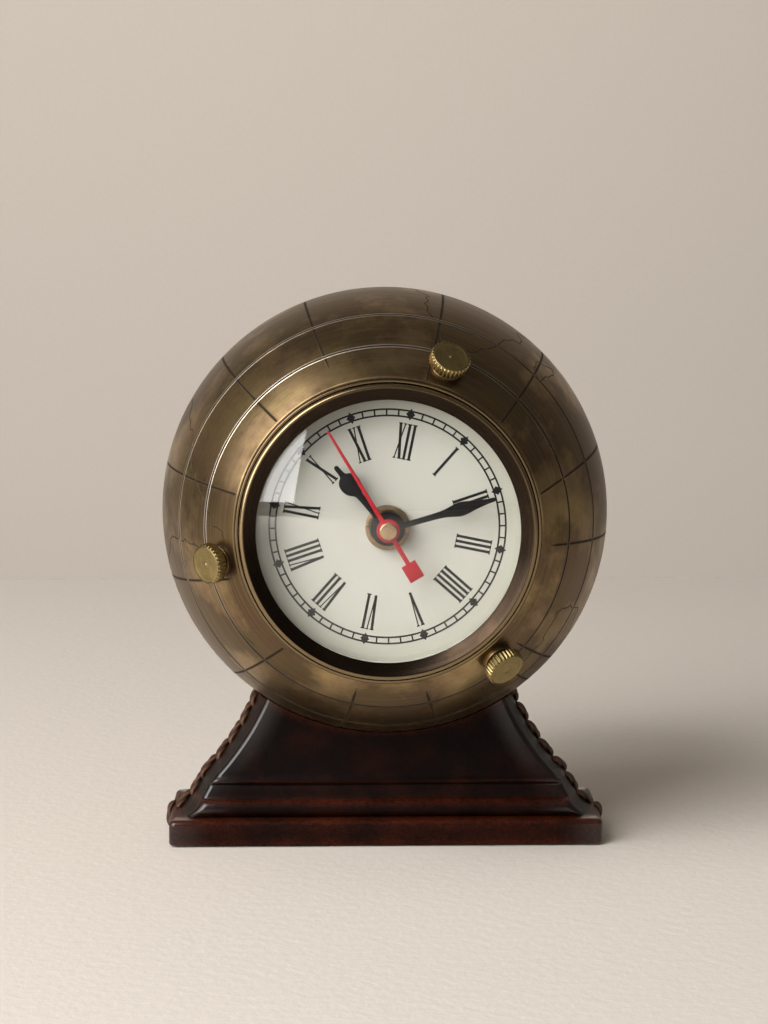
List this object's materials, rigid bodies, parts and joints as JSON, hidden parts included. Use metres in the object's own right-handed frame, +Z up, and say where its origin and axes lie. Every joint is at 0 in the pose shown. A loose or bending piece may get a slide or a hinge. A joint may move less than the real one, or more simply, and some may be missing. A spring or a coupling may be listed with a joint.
{
  "type": "globe desk clock",
  "caption": "Desk clock set in a hollow engraved brass globe held by knurled thumb screws, resting in the dished top of a leather-covered moulded stand.",
  "frame": {"origin": "centre of the stand's underside, below the centre of the globe", "axes": "+Z up, -Y out of the dial, +X to the right as the dial is read"},
  "size_m": [0.1158, 0.1055, 0.1425],
  "materials": {
    "wood": "bare softwood",
    "felt": "dark green felt",
    "lining": "thin black felt",
    "leather": "dark brown, waxed, worn red on the edges",
    "lace": "rust brown thong",
    "aged_brass": "antiqued, engraved",
    "screw_brass": "knurled, lightly tarnished",
    "bezel_brass": "brushed with polished crest",
    "drum_steel": "spun",
    "glass": "clear domed",
    "spacer_plastic": "cream",
    "dial_face": "satin cream with printed numerals",
    "dial_plate_steel": "plain",
    "nut_brass": "turned",
    "washer_rubber": "plain",
    "case_plastic": "moulded",
    "plate_plastic": "natural",
    "bobbin_plastic": "moulded",
    "copper": "enamelled copper wire",
    "stator_iron": "stamped",
    "board": "lacquered board",
    "can_steel": "bright can",
    "contact_steel": "nickel plated",
    "cell_jacket": "plain jacket",
    "pivot_steel": "turned",
    "gear_plastic": "natural",
    "gear_brass": "turned",
    "knob_plastic": "moulded",
    "red_paint": "gloss red",
    "cap_brass": "polished",
    "black_paint": "satin black"
  },
  "bodies": {
    "stand": {"base_core": "wood", "base_felt": "felt", "seat_lining": "lining", "leather_front": "leather", "leather_rear": "leather", "lace_left": "lace", "lace_right": "lace"},
    "globe": {"globe_front_half": "aged_brass", "globe_rear_half": "aged_brass", "opening_collar": "aged_brass", "screw_bushes": "aged_brass"},
    "top_screw": {"thumb_screw_top": "screw_brass"},
    "right_screw": {"thumb_screw_right": "screw_brass"},
    "left_screw": {"thumb_screw_left": "screw_brass"},
    "clock_unit": {"clock_bezel": "bezel_brass", "clock_drum": "drum_steel", "glass": "glass", "glass_spacer": "spacer_plastic", "dial": "dial_face", "dial_plate": "dial_plate_steel", "dial_nut": "nut_brass", "dial_washer": "washer_rubber", "movement_case": "case_plastic", "movement_cover": "case_plastic", "train_plate": "plate_plastic", "coil_bobbin": "bobbin_plastic", "coil_winding": "copper", "stator": "stator_iron", "circuit_board": "board", "quartz_crystal": "can_steel", "contact_plus": "contact_steel", "contact_minus": "contact_steel"},
    "cell": {"battery": "cell_jacket"},
    "rotor_shaft": {"rotor": "pivot_steel"},
    "fifth_shaft": {"fifth_wheel": "gear_plastic"},
    "seconds_shaft": {"seconds_wheel": "gear_plastic", "second_hand": "red_paint", "second_hand_cap": "cap_brass"},
    "third_shaft": {"third_wheel": "gear_plastic"},
    "centre_shaft": {"centre_wheel": "gear_plastic"},
    "minute_shaft": {"centre_pipe": "gear_brass", "minute_hand": "black_paint"},
    "motion_shaft": {"motion_wheel": "gear_plastic", "setting_knob": "knob_plastic"},
    "hour_shaft": {"hour_wheel": "gear_plastic", "hour_hand": "black_paint"}
  },
  "joints": [
    {"name": "globe_turn", "type": "hinge", "parent": "stand", "child": "globe", "pos_m": [0, 0, 0.085], "axis": [0, 0, 1], "continuous": true},
    {"name": "top_screw_turn", "type": "hinge", "parent": "globe", "child": "top_screw", "pos_m": [0, 0, 0.085], "axis": [0.2465, -0.682, 0.6885], "range_deg": [0, 720]},
    {"name": "right_screw_turn", "type": "hinge", "parent": "globe", "child": "right_screw", "pos_m": [0, 0, 0.085], "axis": [0.473, -0.682, -0.5578], "range_deg": [0, 720]},
    {"name": "left_screw_turn", "type": "hinge", "parent": "globe", "child": "left_screw", "pos_m": [0, 0, 0.085], "axis": [-0.7196, -0.682, -0.1308], "range_deg": [0, 720]},
    {"name": "clock_slide", "type": "slide", "parent": "globe", "child": "clock_unit", "axis": [0, -1, 0], "range_m": [0, 0.07]},
    {"name": "battery_slide", "type": "slide", "parent": "clock_unit", "child": "cell", "axis": [0, 1, 0], "range_m": [0, 0.02]},
    {"name": "second_hand_spin", "type": "hinge", "parent": "clock_unit", "child": "seconds_shaft", "pos_m": [0, 0, 0.085], "axis": [0, 1, 0], "continuous": true},
    {"name": "rotor_spin", "type": "hinge", "parent": "clock_unit", "child": "rotor_shaft", "pos_m": [-0.00806, 0, 0.09774], "axis": [0, 1, 0], "continuous": true},
    {"name": "fifth_wheel_spin", "type": "hinge", "parent": "clock_unit", "child": "fifth_shaft", "pos_m": [-0.00267, 0, 0.09297], "axis": [0, 1, 0], "continuous": true},
    {"name": "third_wheel_spin", "type": "hinge", "parent": "clock_unit", "child": "third_shaft", "pos_m": [0.00823, 0, 0.08333], "axis": [0, 1, 0], "continuous": true},
    {"name": "centre_wheel_spin", "type": "hinge", "parent": "clock_unit", "child": "centre_shaft", "pos_m": [0, 0, 0.085], "axis": [0, 1, 0], "continuous": true},
    {"name": "minute_hand_spin", "type": "hinge", "parent": "clock_unit", "child": "minute_shaft", "pos_m": [0, 0, 0.085], "axis": [0, 1, 0], "continuous": true},
    {"name": "motion_wheel_spin", "type": "hinge", "parent": "clock_unit", "child": "motion_shaft", "pos_m": [-0.00882, 0, 0.08679], "axis": [0, 1, 0], "continuous": true},
    {"name": "hour_hand_spin", "type": "hinge", "parent": "clock_unit", "child": "hour_shaft", "pos_m": [0, 0, 0.085], "axis": [0, 1, 0], "continuous": true}
  ],
  "couplings": [
    {"joint": "rotor_spin", "follows": "second_hand_spin", "ratio": 30},
    {"joint": "fifth_wheel_spin", "follows": "second_hand_spin", "ratio": -6},
    {"joint": "third_wheel_spin", "follows": "second_hand_spin", "ratio": -0.13333},
    {"joint": "centre_wheel_spin", "follows": "second_hand_spin", "ratio": 0.016667},
    {"joint": "motion_wheel_spin", "follows": "minute_hand_spin", "ratio": -0.33333},
    {"joint": "hour_hand_spin", "follows": "minute_hand_spin", "ratio": 0.083333}
  ]
}
